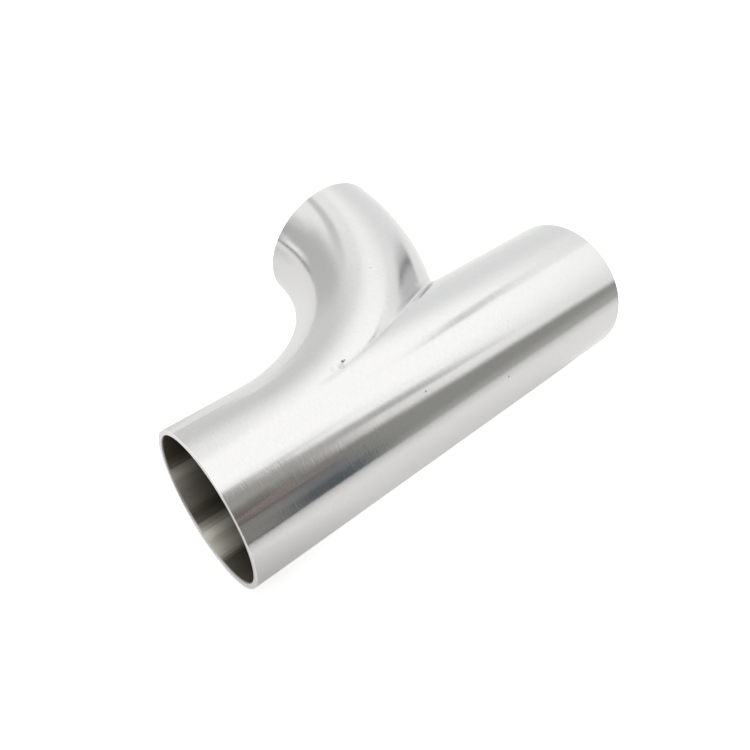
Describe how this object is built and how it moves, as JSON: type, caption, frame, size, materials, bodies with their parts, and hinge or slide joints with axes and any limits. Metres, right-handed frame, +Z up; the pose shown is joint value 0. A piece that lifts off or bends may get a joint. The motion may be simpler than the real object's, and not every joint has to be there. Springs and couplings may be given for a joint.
{
  "type": "welded pipe tee",
  "caption": "Polished stainless pipe tee: a straight run of thin tube with a swept branch of the same tube welded on, all ends cut square for butt welding.",
  "frame": {"origin": "middle of the run's inlet face, the end that is nearer to the bend's start", "axes": "+X along the run from the inlet to the outlet, +Y the way the branch's outlet faces, +Z up, square to the plane of both tubes, so the tee lies flat on the lines at its lowest Z"},
  "size_m": [0.157, 0.1, 0.0508],
  "materials": {
    "polished_tube": "bright polished, with fine polishing lines along the tube",
    "weld_metal": "ground flush and polished"
  },
  "bodies": {
    "root": {"run_tube": "polished_tube", "swept_branch": "polished_tube", "weld_seam": "weld_metal"}
  },
  "joints": []
}
